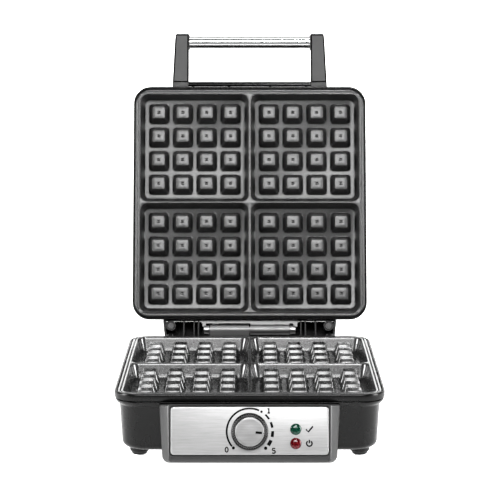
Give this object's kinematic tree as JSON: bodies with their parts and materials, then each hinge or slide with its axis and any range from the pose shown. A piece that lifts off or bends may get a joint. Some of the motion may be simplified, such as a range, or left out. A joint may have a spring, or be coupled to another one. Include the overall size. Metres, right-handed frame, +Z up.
{
  "type": "waffle maker",
  "caption": "Square waffle maker with a hinged lid, pyramid-studded plates, a front control panel with a dial and lamps, a tube grip and a rear cord inlet.",
  "frame": {"origin": "on the table under the middle of the whole object's plan box, with the lid open", "axes": "+X to the cook's right, +Y to the rear, away from the control panel, +Z up"},
  "size_m": [0.245, 0.3897, 0.3671],
  "materials": {
    "casing_dark": "semi-gloss heat-resistant plastic",
    "base_plastic": "matte",
    "handle_plastic": "satin",
    "coated_plate": "dark non-stick coating on cast aluminium",
    "element_steel": "satin",
    "zinc_sheet": "zinc-plated sheet",
    "screw_steel": "zinc-plated",
    "panel_steel": "brushed sideways",
    "grip_steel": "polished",
    "knob_plastic": "satin",
    "pointer_ink": "printed",
    "green_lens": "tinted, clear",
    "red_lens": "tinted, clear",
    "lamp_glass": "clear",
    "ceramic": "glazed ceramic",
    "copper": "bare copper",
    "wire_sleeve": "glass-fibre sleeve",
    "pad_rubber": "matte"
  },
  "bodies": {
    "base": {"lower_housing": "casing_dark", "lower_rim_frame": "casing_dark", "lower_plate": "coated_plate", "lower_element": "element_steel", "lower_heat_shield": "zinc_sheet", "lower_element_clamps": "zinc_sheet", "thermal_fuse": "element_steel", "fuse_clip": "zinc_sheet", "terminal_block": "ceramic", "mains_wires": "wire_sleeve", "cord_gland": "base_plastic", "cord_clamp": "base_plastic", "base_cover": "base_plastic", "base_cover_screws": "screw_steel", "feet": "base_plastic", "foot_pads": "pad_rubber", "plate_screws": "screw_steel", "control_housing": "casing_dark", "control_panel": "panel_steel", "panel_studs": "zinc_sheet", "ready_lens": "green_lens", "power_lens": "red_lens", "neon_lamps": "lamp_glass", "lamp_holder": "base_plastic", "thermostat_body": "ceramic", "thermostat_bracket": "zinc_sheet", "thermostat_bulb": "copper", "panel_wires": "wire_sleeve", "base_hinge_leaf": "zinc_sheet", "base_leaf_screws": "screw_steel", "hinge_pin": "element_steel", "pin_nuts": "element_steel"},
    "lid": {"upper_housing": "casing_dark", "upper_rim_frame": "casing_dark", "upper_plate": "coated_plate", "upper_element": "element_steel", "upper_heat_shield": "zinc_sheet", "upper_element_clamps": "zinc_sheet", "upper_plate_screws": "screw_steel", "lid_hinge_leaf": "zinc_sheet", "lid_leaf_screws": "screw_steel", "hinge_cover": "casing_dark", "hinge_cover_screws": "screw_steel", "lid_wires": "wire_sleeve", "handle_frame": "handle_plastic", "handle_covers": "handle_plastic", "handle_bar": "grip_steel", "handle_screws": "screw_steel"},
    "knob": {"control_knob": "knob_plastic", "knob_cap": "panel_steel", "knob_pointer": "pointer_ink", "thermostat_shaft": "element_steel", "shaft_spring": "element_steel"}
  },
  "joints": [
    {"name": "lid_hinge", "type": "hinge", "parent": "base", "child": "lid", "pos_m": [0, 0.09324, 0.0674], "axis": [1, 0, 0], "range_deg": [0, 105.5]},
    {"name": "knob_turn", "type": "hinge", "parent": "base", "child": "knob", "pos_m": [0, -0.1761, 0.03324], "axis": [0, -0.9686, 0.2487], "range_deg": [-40, 230]}
  ]
}
